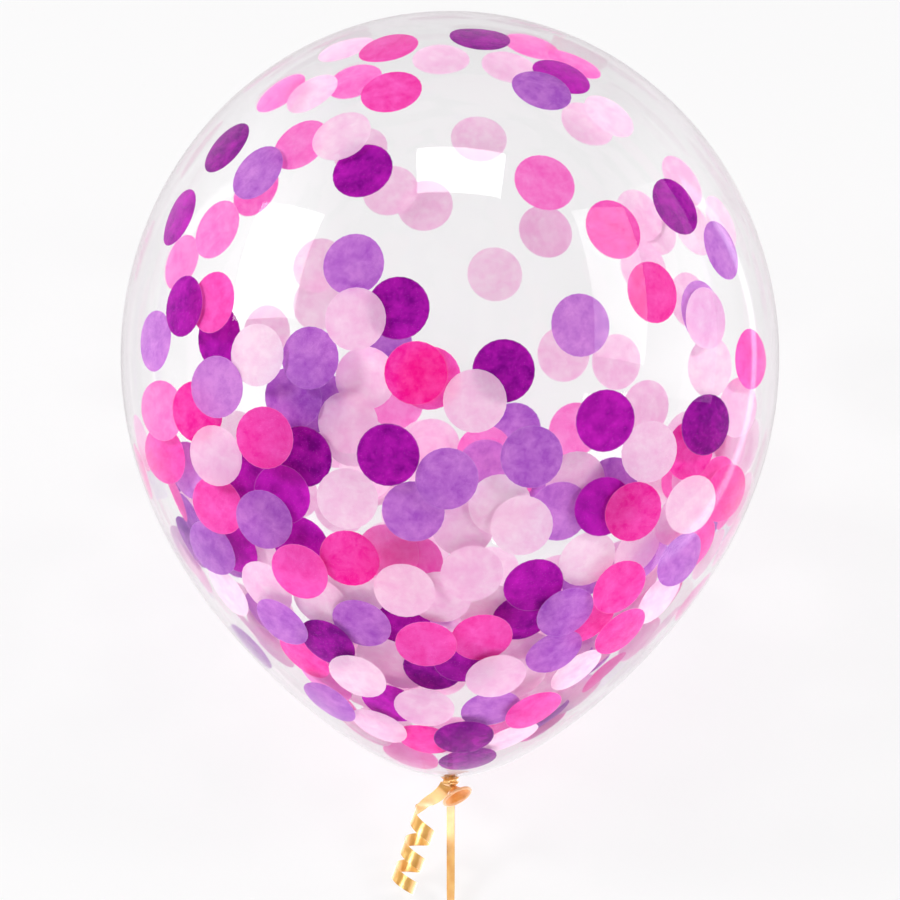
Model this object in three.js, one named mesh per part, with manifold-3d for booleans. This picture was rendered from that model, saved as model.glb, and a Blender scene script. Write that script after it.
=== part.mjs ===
// A clear latex confetti balloon, tied at the neck with gold curling ribbon and lying on its side.
// Millimetres, +Z up. The origin is the middle of the flat spot that the balloon rests on.
// The crown leans up towards +Y and the tied neck points down towards -Y.

import * as THREE from 'three';
import { mergeVertices } from 'three/addons/utils/BufferGeometryUtils.js';
import Module from 'manifold-3d';

// Balloon skin, about its own axis: heights are measured from the widest circle
const WIDEST_DIAMETER = 279.4;
const CROWN_HEIGHT = 147;
const NECK_DEPTH = 178;
const TAPER = 0.228;
const TIP_TAPER = 0.109;
const AROUND = 60;
const CROWN_STEPS = 15;
const TAPER_STEPS = 18;

// How it lies
const LYING_TILT = THREE.MathUtils.degToRad(35);
const FLAT_SPOT_DEPTH = 2.5;
const FLOOR_BLOCK = { width: 160, thickness: 40 };
const CONTACT_SEARCH_STEP = 0.05;

// Gathered neck, below the skin
const GATHER_ANGLE = THREE.MathUtils.degToRad(87.5);
const COLLAR = { radius: 3.1, depth: 178.5 };
const PINCH = { radius: 2.4, depth: 179.1, end: 182.2 };

// Open mouth with its rolled lip, bent over to one side
const MOUTH_ROOT = new THREE.Vector3(0.3, -181.6, 0);
const MOUTH_DIRECTION = new THREE.Vector3(0.46, -0.77, 0.44).normalize();
const MOUTH = { depth: 6, rootRadius: 2, rootLength: 1.5, radius: 6.2, wall: 0.5, floor: 2.2 };
const MOUTH_FLARE = 1.4;
const LIP_BEAD_RADIUS = 0.65;
const LIP_BEAD_SWEEP = 1.5 * Math.PI;
const MOUTH_AROUND = 28;
const MOUTH_STEPS = 6;
const BEAD_STEPS = 8;

// Gold ribbon
const RIBBON_WIDTH = 5;
const WRAP = { inside: 2.9, outside: 3.7, height: 2.4, round: 0.35, aside: 0.2, depth: 180.1, around: 28 };
const WRAP_LEAN = THREE.MathUtils.degToRad(8);
const TUBE_SIDES = 8;
const TAIL_STEPS = 16;

// The long tail: out of the knot behind the lip, down to the floor and on to its coil
const TAIL_ROUTE = [
  [0.3, -123.6, 32.8], [0.3, -127.6, 29.9], [0.3, -131.6, 26.9], [0.3, -135.6, 23.8],
  [0.3, -139.6, 20.6], [0.3, -143.6, 17.4], [0.3, -147.6, 14.3], [0.3, -151.8, 11.3],
  [0.3, -156.2, 8.6], [0.3, -160.8, 6.4], [0.3, -165.6, 4.8], [0.3, -170.6, 3.8],
  [0.3, -175.6, 3.3], [0.3, -180.6, 3.2], [0.3, -185.6, 3.2], [0.3, -190, 3.2],
];

// The rest of the tail, wound on edge into a coil that lies on the floor
const COIL = { centre: [33.8, -205], inside: 19.7, outside: 33.8, bottom: 0.7, round: 0.6, around: 40 };
const TIE = { gap: 0.3, thickness: 0.4, width: 4 };

// The short curled tail, in the balloon's own frame: a plain lead and then the curl around its axis
const CURL_LEAD = [[-5.5, -181.9, 0.4], [-6.6, -186, 0], [-7.8, -190.2, -1], [-8.8, -194.4, -2.3]];
const CURL_LEAD_DIAMETER = 3;
const CURL_AXIS = [[-8.6, -193.5, -2], [-10.7, -199, -4], [-15, -210.6, -7.6], [-19.2, -222.1, -12]];
const CURL_DIAMETER = 11.2;
const CURL_SIDES = 12;
const CURL_STEPS = 8;

const wasm = await Module();
wasm.setup();

/** A radius of the skin at a height above (+) or below (-) the widest circle. */
function skinRadius(height) {
  const widest = WIDEST_DIAMETER / 2;
  if (height >= 0) {
    return widest * Math.sqrt(Math.max(0, 1 - (height / CROWN_HEIGHT) ** 2));
  }
  const fall = (height / NECK_DEPTH) ** 2;
  return widest * Math.sqrt(Math.max(0, 1 - fall)) * (1 - TAPER * fall - TIP_TAPER * fall * fall);
}

/** A closed solid of a geometry, ready to be joined or cut. */
function toSolid(geometry) {
  const bare = geometry.clone();
  bare.deleteAttribute('normal');
  bare.deleteAttribute('uv');
  const merged = mergeVertices(bare);
  const corners = merged.index.array;
  const triangles = [];
  for (let i = 0; i < corners.length; i += 3) {
    const [a, b, c] = corners.slice(i, i + 3);
    if (a !== b && b !== c && c !== a) {
      triangles.push(a, b, c);
    }
  }
  const mesh = new wasm.Mesh({
    numProp: 3,
    vertProperties: new Float32Array(merged.attributes.position.array),
    triVerts: new Uint32Array(triangles),
  });
  return new wasm.Manifold(mesh);
}

/** The geometry of a joined or cut solid. */
function toGeometry(solid) {
  const mesh = solid.getMesh();
  const geometry = new THREE.BufferGeometry();
  geometry.setAttribute('position', new THREE.BufferAttribute(mesh.vertProperties, 3));
  geometry.setIndex(new THREE.BufferAttribute(mesh.triVerts, 1));
  geometry.computeVertexNormals();
  return geometry;
}

/** A round bar along a smooth curve through hand-chosen points. */
function tubeAlong(points, diameter, sides, steps) {
  const curve = new THREE.CatmullRomCurve3(points.map((point) => new THREE.Vector3(...point)));
  const section = new THREE.Shape();
  for (let i = 0; i < sides; i += 1) {
    const angle = (2 * Math.PI * (i + 0.5)) / sides;
    const corner = [(diameter / 2) * Math.cos(angle), (diameter / 2) * Math.sin(angle)];
    if (i === 0) {
      section.moveTo(...corner);
    } else {
      section.lineTo(...corner);
    }
  }
  section.closePath();
  return new THREE.ExtrudeGeometry(section, { steps, bevelEnabled: false, extrudePath: curve });
}

/** A ring about Y whose section is a rectangle with cut corners. */
function ringAboutY(inside, outside, bottom, top, round, around) {
  const profile = [
    [inside + round, bottom], [outside - round, bottom], [outside, bottom + round],
    [outside, top - round], [outside - round, top], [inside + round, top],
    [inside, top - round], [inside, bottom + round], [inside + round, bottom],
  ];
  return new THREE.LatheGeometry(profile.map((point) => new THREE.Vector2(...point)), around);
}

/** The teardrop of the inflated skin down to its gathered neck. */
function skinSolid() {
  const profile = [
    new THREE.Vector2(0, -PINCH.end),
    new THREE.Vector2(PINCH.radius, -PINCH.end),
    new THREE.Vector2(PINCH.radius, -PINCH.depth),
    new THREE.Vector2(COLLAR.radius, -COLLAR.depth),
  ];
  for (let i = TAPER_STEPS; i > 0; i -= 1) {
    const height = -NECK_DEPTH * Math.sin((GATHER_ANGLE * i) / TAPER_STEPS);
    profile.push(new THREE.Vector2(skinRadius(height), height));
  }
  for (let i = 0; i < CROWN_STEPS; i += 1) {
    const height = CROWN_HEIGHT * Math.sin((Math.PI / 2) * (i / CROWN_STEPS));
    profile.push(new THREE.Vector2(skinRadius(height), height));
  }
  profile.push(new THREE.Vector2(0, CROWN_HEIGHT));
  return toSolid(new THREE.LatheGeometry(profile, AROUND));
}

/** The flared mouth: a hollow cone that ends in the rolled lip, about +Y from its root. */
function mouthSolid() {
  const flare = (along) => {
    const rise = Math.max(0, (along - MOUTH.rootLength) / (MOUTH.depth - MOUTH.rootLength));
    return MOUTH.rootRadius + (MOUTH.radius - MOUTH.rootRadius) * rise ** MOUTH_FLARE;
  };
  const profile = [new THREE.Vector2(0, 0), new THREE.Vector2(MOUTH.rootRadius, 0)];
  for (let i = 0; i < MOUTH_STEPS; i += 1) {
    const along = MOUTH.rootLength + ((MOUTH.depth - MOUTH.rootLength) * i) / MOUTH_STEPS;
    profile.push(new THREE.Vector2(flare(along), along));
  }
  for (let i = 0; i < BEAD_STEPS; i += 1) {
    const angle = -Math.PI / 2 + (LIP_BEAD_SWEEP * i) / (BEAD_STEPS - 1);
    const out = MOUTH.radius + LIP_BEAD_RADIUS * Math.cos(angle);
    profile.push(new THREE.Vector2(out, MOUTH.depth + LIP_BEAD_RADIUS * Math.sin(angle)));
  }
  for (let i = MOUTH_STEPS - 1; i > 0; i -= 1) {
    const along = MOUTH.floor + ((MOUTH.depth - MOUTH.floor) * i) / MOUTH_STEPS;
    profile.push(new THREE.Vector2(flare(along) - MOUTH.wall, along));
  }
  profile.push(new THREE.Vector2(0, MOUTH.floor));
  const geometry = new THREE.LatheGeometry(profile, MOUTH_AROUND);
  const turn = new THREE.Quaternion().setFromUnitVectors(new THREE.Vector3(0, 1, 0), MOUTH_DIRECTION);
  geometry.applyQuaternion(turn);
  geometry.translate(MOUTH_ROOT.x, MOUTH_ROOT.y, MOUTH_ROOT.z);
  return toSolid(geometry);
}

/** The group that holds what is built about the balloon's own axis, laid over on to the floor. */
function lyingGroup() {
  const lowest = { height: 0, radius: 0, reach: 0 };
  for (let height = 0; height > -NECK_DEPTH; height -= CONTACT_SEARCH_STEP) {
    const radius = skinRadius(height);
    const reach = radius * Math.cos(LYING_TILT) - height * Math.sin(LYING_TILT);
    if (reach > lowest.reach) {
      Object.assign(lowest, { height, radius, reach });
    }
  }
  const forward = -lowest.height * Math.cos(LYING_TILT) - lowest.radius * Math.sin(LYING_TILT);
  const group = new THREE.Group();
  group.rotation.x = LYING_TILT;
  group.position.set(0, forward, lowest.reach - FLAT_SPOT_DEPTH);
  group.updateMatrix();
  return group;
}

/** The balloon in its own frame, with the spot that it rests on cut flat. */
function balloonGeometry(lying) {
  const floor = new THREE.BoxGeometry(FLOOR_BLOCK.width, FLOOR_BLOCK.width, FLOOR_BLOCK.thickness);
  floor.translate(0, 0, -FLOOR_BLOCK.thickness / 2);
  floor.applyMatrix4(lying.matrix.clone().invert());
  return toGeometry(skinSolid().add(mouthSolid()).subtract(toSolid(floor)));
}

/** The ribbon wound tightly around the neck, leaning with the mouth. */
function wrapGeometry() {
  const half = WRAP.height / 2;
  const geometry = ringAboutY(WRAP.inside, WRAP.outside, -half, half, WRAP.round, WRAP.around);
  geometry.rotateZ(WRAP_LEAN);
  geometry.translate(WRAP.aside, -WRAP.depth, 0);
  return geometry;
}

/** The short tail: its lead from the knot joined to the outer shape of its curl. */
function curlGeometry() {
  const lead = toSolid(tubeAlong(CURL_LEAD, CURL_LEAD_DIAMETER, TUBE_SIDES, CURL_STEPS));
  const curl = toSolid(tubeAlong(CURL_AXIS, CURL_DIAMETER, CURL_SIDES, CURL_STEPS));
  return toGeometry(lead.add(curl));
}

/** The outer shape of the wound ribbon, lying on the floor. */
function coilGeometry() {
  const top = COIL.bottom + RIBBON_WIDTH;
  const geometry = ringAboutY(COIL.inside, COIL.outside, COIL.bottom, top, COIL.round, COIL.around);
  geometry.rotateX(Math.PI / 2);
  return geometry;
}

/** The band that holds the coil's turns together: a flat loop around them. */
function tieGeometry() {
  const loop = (margin) => [
    [COIL.inside - margin, COIL.bottom - margin],
    [COIL.outside + margin, COIL.bottom - margin],
    [COIL.outside + margin, COIL.bottom + RIBBON_WIDTH + margin],
    [COIL.inside - margin, COIL.bottom + RIBBON_WIDTH + margin],
  ].map((point) => new THREE.Vector2(...point));
  const section = new THREE.Shape(loop(TIE.gap + TIE.thickness));
  section.holes.push(new THREE.Path(loop(TIE.gap)));
  const geometry = new THREE.ExtrudeGeometry(section, { depth: TIE.width, bevelEnabled: false });
  geometry.translate(0, 0, -TIE.width / 2);
  geometry.rotateX(Math.PI / 2);
  return geometry;
}

/** A named piece with a material of its own. */
function piece(name, geometry, color, roughness, metalness) {
  const mesh = new THREE.Mesh(geometry, new THREE.MeshStandardMaterial({ color, roughness, metalness }));
  mesh.name = name;
  return mesh;
}

const GOLD = 0xe0a53c;
const GOLD_ROUGHNESS = 0.28;
const GOLD_METALNESS = 0.6;

const balloon = new THREE.Group();
const lying = lyingGroup();
balloon.add(lying);

lying.add(piece('balloon', balloonGeometry(lying), 0xf1edf2, 0.05, 0));
lying.add(piece('ribbon_wrap', wrapGeometry(), GOLD, GOLD_ROUGHNESS, GOLD_METALNESS));
lying.add(piece('ribbon_curl', curlGeometry(), GOLD, GOLD_ROUGHNESS, GOLD_METALNESS));

const tail = tubeAlong(TAIL_ROUTE, RIBBON_WIDTH, TUBE_SIDES, TAIL_STEPS);
balloon.add(piece('ribbon_tail', tail, GOLD, GOLD_ROUGHNESS, GOLD_METALNESS));

const coil = new THREE.Group();
coil.position.set(...COIL.centre, 0);
coil.add(piece('ribbon_coil', coilGeometry(), GOLD, GOLD_ROUGHNESS, GOLD_METALNESS));
coil.add(piece('coil_tie', tieGeometry(), GOLD, GOLD_ROUGHNESS, GOLD_METALNESS));
balloon.add(coil);

export default balloon;
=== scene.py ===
"""Looks of a clear confetti balloon that lies on its side with its ribboned neck low.

Lengths are in metres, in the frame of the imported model: +Z up, the crown leaning up towards +Y and the tied
neck down towards -Y. The balloon's own frame has its axis along Y, crown up, and Z towards the camera. The
matrix called lying takes a point from the balloon's own frame to the model's.
"""

import logging
import math
import random
from collections import defaultdict
from dataclasses import dataclass, field
from enum import Enum
from typing import Iterable, NamedTuple, Optional, Sequence, Union

import bmesh
import bpy
from bmesh.types import BMEdge, BMesh, BMVert
from mathutils import Matrix, Vector
from mathutils.bvhtree import BVHTree

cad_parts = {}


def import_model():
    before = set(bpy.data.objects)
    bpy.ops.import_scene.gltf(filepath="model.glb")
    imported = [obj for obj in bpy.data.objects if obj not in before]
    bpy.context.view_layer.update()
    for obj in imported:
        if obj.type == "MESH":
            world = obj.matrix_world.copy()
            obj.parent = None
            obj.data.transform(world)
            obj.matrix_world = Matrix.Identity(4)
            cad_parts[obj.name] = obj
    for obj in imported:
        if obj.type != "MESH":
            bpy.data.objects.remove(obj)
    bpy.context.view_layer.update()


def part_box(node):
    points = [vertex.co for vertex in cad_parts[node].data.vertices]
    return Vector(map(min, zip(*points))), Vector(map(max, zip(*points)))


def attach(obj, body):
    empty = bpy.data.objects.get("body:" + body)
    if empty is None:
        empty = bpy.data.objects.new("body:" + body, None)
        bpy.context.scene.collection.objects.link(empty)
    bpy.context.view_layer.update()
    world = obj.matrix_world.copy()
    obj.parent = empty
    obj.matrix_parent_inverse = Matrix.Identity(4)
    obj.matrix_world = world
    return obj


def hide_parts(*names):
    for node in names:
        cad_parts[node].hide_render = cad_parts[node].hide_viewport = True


LOG = logging.getLogger("confetti_balloon")

MM = 0.001
FULL_TURN = 2 * math.pi
MERGE_DISTANCE = 0.001 * MM
BODY = "root"
SEED = 20

Colour = tuple[float, float, float, float]
Point = tuple[float, float, float]
Levels = tuple[tuple[float, float], ...]
Socket = bpy.types.NodeSocket
Value = Union[float, Colour, Socket]

WHITE: Colour = (1.0, 1.0, 1.0, 1.0)


def srgb(red: int, green: int, blue: int) -> Colour:
    """A shader colour from the eight-bit values of a screen colour.

    Args:
        red: Red, 0 to 255.
        green: Green, 0 to 255.
        blue: Blue, 0 to 255.

    Returns:
        The linear colour with full alpha.
    """
    def channel(value: int) -> float:
        """One channel made linear."""
        share = value / 255.0
        return share / 12.92 if share <= 0.04045 else ((share + 0.055) / 1.055) ** 2.4

    return channel(red), channel(green), channel(blue), 1.0


def millimetres(points: Iterable[Point]) -> list[Vector]:
    """Points written in millimetres, as vectors in metres."""
    return [Vector(point) * MM for point in points]


class ShaderSheet:
    """The node tree of a material or a world, and short calls that fill it."""

    def __init__(self, owner: Union[bpy.types.Material, bpy.types.World]) -> None:
        """Starts with an empty tree.

        Args:
            owner: The new material or world.
        """
        owner.use_nodes = True
        self.owner = owner
        self.tree = owner.node_tree
        self.tree.nodes.clear()

    def node(self, kind: str, inputs: Optional[dict] = None, **settings: object) -> bpy.types.Node:
        """Adds a node.

        Args:
            kind: The node's type name without its ShaderNode prefix.
            inputs: Plain values or sockets for its inputs, by name or number.
            settings: The node's own properties.

        Returns:
            The new node.
        """
        node = self.tree.nodes.new(f"ShaderNode{kind}")
        for name, value in settings.items():
            setattr(node, name, value)
        for key, value in (inputs or {}).items():
            if isinstance(value, Socket):
                self.tree.links.new(value, node.inputs[key])
            else:
                node.inputs[key].default_value = value
        return node

    def math(self, operation: str, *values: Value) -> Socket:
        """The result of a Math node, by its operation and its inputs in order."""
        return self.node("Math", dict(enumerate(values)), operation=operation).outputs["Value"]

    def attribute(self, name: str) -> Socket:
        """A number that the piece's own mesh carries."""
        return self.node("Attribute", attribute_name=name).outputs["Fac"]

    def noise(self, scale: float, detail: float, **others: float) -> Socket:
        """A noise over the piece's own coordinates.

        Args:
            scale: How many of its waves fit in a metre.
            detail: How many finer layers it has.
            others: Values of its other inputs, by name.

        Returns:
            The noise, from 0 to 1.
        """
        place = self.node("TexCoord").outputs["Object"]
        inputs = {"Vector": place, "Scale": scale, "Detail": detail, **others}
        return self.node("TexNoise", inputs).outputs["Fac"]

    def bump(self, height: Socket, strength: float, distance: float) -> Socket:
        """A normal that follows a height."""
        inputs = {"Height": height, "Strength": strength, "Distance": distance}
        return self.node("Bump", inputs).outputs["Normal"]

    def ramp(self, factor: Socket, stops: Sequence[tuple[float, Colour]]) -> Socket:
        """A colour ramp.

        Args:
            factor: What drives it.
            stops: Places from 0 to 1 and their colours.

        Returns:
            The ramp's colour socket.
        """
        node = self.node("ValToRGB", {"Fac": factor})
        elements = node.color_ramp.elements
        while len(elements) < len(stops):
            elements.new(0.5)
        for element, (place, colour) in zip(elements, stops):
            element.position = place
            element.color = colour
        return node.outputs["Color"]

    def mix(self, share: Socket, first: Value, second: Value, data_type: str = "RGBA") -> Socket:
        """A blend of two colours or numbers.

        Args:
            share: The second one's share.
            first: What shows at a share of 0.
            second: What shows at a share of 1.
            data_type: RGBA for colours, FLOAT for numbers.

        Returns:
            The blend.
        """
        start, result = (6, 2) if data_type == "RGBA" else (2, 0)
        node = self.node("Mix", {0: share, start: first, start + 1: second}, data_type=data_type)
        return node.outputs[result]

    def blend(self, share: Value, first: bpy.types.Node, second: bpy.types.Node) -> Socket:
        """A blend of two shaders, by the second one's share."""
        inputs = {0: share, 1: first.outputs[0], 2: second.outputs[0]}
        return self.node("MixShader", inputs).outputs["Shader"]

    def surface(self, shader: Socket) -> Union[bpy.types.Material, bpy.types.World]:
        """Puts a shader on the surface.

        Args:
            shader: The shader.

        Returns:
            The finished material or world.
        """
        of_world = isinstance(self.owner, bpy.types.World)
        self.node("OutputWorld" if of_world else "OutputMaterial", {"Surface": shader})
        return self.owner


@dataclass(frozen=True)
class ClearLatexFinish:
    """Stretched clear latex: see-through, glossy and a little uneven."""

    tint: Colour = (0.966, 0.964, 0.967, 1.0)
    roughness: float = 0.03
    refraction: float = 1.25
    waves_per_metre: float = 14.0
    wave_detail: float = 1.0
    wave_strength: float = 0.35
    wave_depth: float = 0.25 * MM

    def material(self) -> bpy.types.Material:
        """Makes the finish.

        Returns:
            The see-through material.
        """
        sheet = ShaderSheet(bpy.data.materials.new("clear_latex"))
        waves = sheet.noise(self.waves_per_metre, self.wave_detail)
        skin = sheet.node("BsdfPrincipled", {
            "Base Color": self.tint, "Roughness": self.roughness, "IOR": self.refraction,
            "Transmission Weight": 1.0, "Normal": sheet.bump(waves, self.wave_strength, self.wave_depth)})
        return sheet.surface(skin.outputs["BSDF"])


@dataclass(frozen=True)
class AmberLatexFinish:
    """Unstretched latex, amber at the neck and mouth and paler on the rolled lip."""

    deep: Colour = srgb(226, 156, 72)
    light: Colour = srgb(244, 186, 104)
    lip: Colour = srgb(240, 198, 146)
    roughness: float = 0.3
    coat: float = 0.5
    coat_roughness: float = 0.15
    passing: float = 0.35
    blotches_per_metre: float = 420.0
    blotch_detail: float = 3.0
    blotch_roughness: float = 0.55
    blotch_span: tuple[float, float] = (0.3, 0.7)
    blotch_strength: float = 0.1
    blotch_depth: float = 0.2 * MM

    def material(self) -> bpy.types.Material:
        """Makes the finish. The piece's own attribute says where its rolled lip is.

        Returns:
            The amber material.
        """
        sheet = ShaderSheet(bpy.data.materials.new("amber_latex"))
        blotches = sheet.noise(
            self.blotches_per_metre, self.blotch_detail, Roughness=self.blotch_roughness)
        amber = sheet.ramp(blotches, list(zip(self.blotch_span, (self.deep, self.light))))
        colour = sheet.mix(sheet.attribute("lip"), amber, self.lip)
        rubber = sheet.node("BsdfPrincipled", {
            "Base Color": colour, "Roughness": self.roughness,
            "Normal": sheet.bump(blotches, self.blotch_strength, self.blotch_depth),
            "Coat Weight": self.coat, "Coat Roughness": self.coat_roughness})
        glow = sheet.node("BsdfTranslucent", {"Color": colour})
        return sheet.surface(sheet.blend(self.passing, rubber, glow))


@dataclass(frozen=True)
class GoldRibbonFinish:
    """Metallic gold curling ribbon, finely ribbed along its length."""

    deep: Colour = srgb(232, 168, 70)
    light: Colour = srgb(252, 204, 112)
    metal: float = 0.28
    roughness: float = 0.26
    gloss: float = 1.0
    coat_roughness: float = 0.2
    coat_refraction: float = 1.7
    clouds_per_metre: float = 160.0
    cloud_detail: float = 2.0
    cloud_span: tuple[float, float] = (0.3, 0.7)
    ribs: float = 14.0
    rib_strength: float = 0.3
    rib_depth: float = 0.04 * MM

    def material(self) -> bpy.types.Material:
        """Makes the finish. The ribs follow the tape's own attribute, 0 to 1 from edge to edge.

        Returns:
            The gold material.
        """
        sheet = ShaderSheet(bpy.data.materials.new("gold_ribbon"))
        rib_angle = sheet.math("MULTIPLY", sheet.attribute("across"), self.ribs * FULL_TURN)
        rib = sheet.math("SINE", rib_angle)
        cloud = sheet.noise(self.clouds_per_metre, self.cloud_detail)
        colour = sheet.ramp(cloud, list(zip(self.cloud_span, (self.deep, self.light))))
        gold = sheet.node("BsdfPrincipled", {
            "Base Color": colour, "Metallic": self.metal, "Roughness": self.roughness,
            "Specular IOR Level": self.gloss, "Normal": sheet.bump(rib, self.rib_strength, self.rib_depth),
            "Coat Weight": 1.0, "Coat Roughness": self.coat_roughness, "Coat IOR": self.coat_refraction})
        return sheet.surface(gold.outputs["BSDF"])


class Tissue(Enum):
    """The colours of tissue paper, by the record's slot."""

    PALE_PINK = "tissue_pale_pink"
    BLUSH = "tissue_blush"
    HOT_PINK = "tissue_hot_pink"
    PURPLE = "tissue_purple"
    LAVENDER = "tissue_lavender"


@dataclass(frozen=True)
class TissueFinish:
    """Thin mottled tissue paper that lets some light through."""

    slot: str
    deep: Colour
    light: Colour
    passing: float = 0.45
    roughness: float = 0.85
    gloss: float = 0.1
    clouds_per_metre: float = 150.0
    cloud_detail: float = 8.0
    cloud_roughness: float = 0.7
    cloud_twist: float = 0.2
    cloud_span: tuple[float, float] = (0.42, 0.86)
    tone_share: float = 0.28
    painted_edge_from: float = 0.93
    painted_edge_highlight: float = 0.12
    fibres_per_metre: float = 900.0
    fibre_detail: float = 2.0
    fibre_strength: float = 0.15
    fibre_depth: float = 0.1 * MM

    def material(self) -> bpy.types.Material:
        """Makes the finish. Each disc's own attributes set how deep its dye is and where its cut edge is,
        which is lightened as a painted highlight.

        Returns:
            The tissue material.
        """
        sheet = ShaderSheet(bpy.data.materials.new(self.slot))
        cloud = sheet.noise(
            self.clouds_per_metre, self.cloud_detail, Roughness=self.cloud_roughness,
            Distortion=self.cloud_twist)
        shade = sheet.math("MULTIPLY_ADD", sheet.attribute("tone"), self.tone_share, cloud)
        dye = sheet.ramp(shade, list(zip(self.cloud_span, (self.deep, self.light))))
        # Painted highlight: the cut edge is blended towards white, as if it caught the light.
        edge = sheet.node("MapRange", {
            "Value": sheet.attribute("rim"), "From Min": self.painted_edge_from, "From Max": 1.0,
            "To Min": 0.0, "To Max": self.painted_edge_highlight})
        colour = sheet.mix(edge.outputs["Result"], dye, WHITE)
        fibres = sheet.noise(self.fibres_per_metre, self.fibre_detail)
        paper = sheet.node("BsdfPrincipled", {
            "Base Color": colour, "Roughness": self.roughness, "Specular IOR Level": self.gloss,
            "Normal": sheet.bump(fibres, self.fibre_strength, self.fibre_depth)})
        glow = sheet.node("BsdfTranslucent", {"Color": colour})
        return sheet.surface(sheet.blend(self.passing, paper, glow))


TISSUE_FINISHES = {
    Tissue.PALE_PINK: TissueFinish("tissue_pale_pink", srgb(244, 193, 227), srgb(253, 235, 245)),
    Tissue.BLUSH: TissueFinish("tissue_blush", srgb(247, 98, 194), srgb(254, 156, 221)),
    Tissue.HOT_PINK: TissueFinish("tissue_hot_pink", srgb(244, 26, 156), srgb(255, 104, 202)),
    Tissue.PURPLE: TissueFinish("tissue_purple", srgb(120, 0, 132), srgb(204, 32, 196)),
    Tissue.LAVENDER: TissueFinish("tissue_lavender", srgb(166, 88, 198), srgb(217, 149, 227)),
}


@dataclass(frozen=True)
class FloorFinish:
    """A pale studio floor with a little light of its own, and more of it beside the balloon as painted light
    that shows only through the skin.
    """

    colour: Colour = (0.13, 0.13, 0.13, 1.0)
    roughness: float = 0.9
    own_light: float = 0.825
    paper_light: float = 2.55
    paper_tint: Colour = (1.0, 0.9, 0.98, 1.0)
    painted_glow_light: float = 0.15
    painted_glow_middle: float = 12.5 * MM
    painted_glow_slope: tuple[float, float] = (62 * MM, 104 * MM)
    any_bounce: float = 0.5

    def material(self) -> bpy.types.Material:
        """Makes the finish. Mirrored rays pass through it, so that gloss shows the room below instead.

        Returns:
            The floor material.
        """
        sheet = ShaderSheet(bpy.data.materials.new("studio_floor"))
        path = sheet.node("LightPath").outputs
        mirrored = sheet.math("GREATER_THAN", path["Glossy Depth"], self.any_bounce)
        through = sheet.math("GREATER_THAN", path["Transmission Depth"], self.any_bounce)
        # Painted light: the extra glow shows only on rays that came through the skin, so the balloon looks
        # lighter towards its sides.
        glow = sheet.math("MULTIPLY", self.glow(sheet), through)
        shown = sheet.math("MULTIPLY_ADD", glow, self.painted_glow_light, self.own_light)
        light = sheet.mix(path["Is Diffuse Ray"], shown, self.paper_light, "FLOAT")
        tint = sheet.mix(path["Is Diffuse Ray"], WHITE, self.paper_tint)
        floor = sheet.node("BsdfPrincipled", {
            "Base Color": self.colour, "Roughness": self.roughness, "Specular IOR Level": 0.0,
            "Emission Color": tint, "Emission Strength": light})
        return sheet.surface(sheet.blend(mirrored, floor, sheet.node("BsdfTransparent")))

    def glow(self, sheet: ShaderSheet) -> Socket:
        """The share of painted glow, which grows along X from the floor under the balloon's middle out to
        both sides.

        Args:
            sheet: The material in making.

        Returns:
            The share, from 0 to 1.
        """
        place = sheet.node("TexCoord").outputs["Object"]
        along_x = sheet.node("SeparateXYZ", {0: place}).outputs["X"]
        sideways = sheet.math("ABSOLUTE", sheet.math("SUBTRACT", along_x, self.painted_glow_middle))
        start, end = self.painted_glow_slope
        share = sheet.node("MapRange", {
            "Value": sideways, "From Min": start, "From Max": end, "To Min": 0.0, "To Max": 1.0})
        return share.outputs["Result"]


def finish_piece(name: str, bm: BMesh, material: bpy.types.Material) -> bpy.types.Object:
    """Turns a finished bmesh into a named, smooth piece that rides on the balloon.

    Args:
        name: The piece's name.
        bm: Its shape, in place, which is used up.
        material: Its finish.

    Returns:
        The new object, at the origin.
    """
    mesh = bpy.data.meshes.new(name)
    bm.to_mesh(mesh)
    bm.free()
    mesh.shade_smooth()
    mesh.materials.append(material)
    piece = bpy.data.objects.new(name, mesh)
    bpy.context.scene.collection.objects.link(piece)
    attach(piece, BODY)
    return piece


def number_layer(layers: object, name: str) -> bmesh.types.BMLayerItem:
    """The layer of numbers with that name, made where it isn't there yet."""
    return layers.float.get(name) or layers.float.new(name)


def spin_outline(
        bm: BMesh, outline: Sequence[Vector], steps: int, layer: Optional[str] = None) -> list[BMVert]:
    """Spins an outline all the way around Y and closes it.

    Args:
        bm: The mesh that gets the shape.
        outline: Points in the XY plane, from one pole to the other or from one edge to the other.
        steps: Faces around.
        layer: Where each vertex keeps its place along the outline, 0 to 1.

    Returns:
        The new vertices, merged, with their faces pointing out.
    """
    along = number_layer(bm.verts.layers, layer) if layer else None
    before = set(bm.verts)
    line = [bm.verts.new(point) for point in outline]
    edges = [bm.edges.new(pair) for pair in zip(line, line[1:])]
    if along:
        for index, vert in enumerate(line):
            vert[along] = index / (len(line) - 1)
    bmesh.ops.spin(
        bm, geom=line + edges, cent=(0, 0, 0), axis=(0, 1, 0), angle=FULL_TURN, steps=steps, use_merge=True)
    made = [vert for vert in bm.verts if vert not in before]
    bmesh.ops.remove_doubles(bm, verts=made, dist=MERGE_DISTANCE)
    made = [vert for vert in bm.verts if vert not in before]
    faces = {face for vert in made for face in vert.link_faces}
    bmesh.ops.recalc_face_normals(bm, faces=list(faces))
    return made


class Station(NamedTuple):
    """One place along a tape: its middle, and the direction that its face looks in."""

    middle: Vector
    face: Vector


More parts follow.
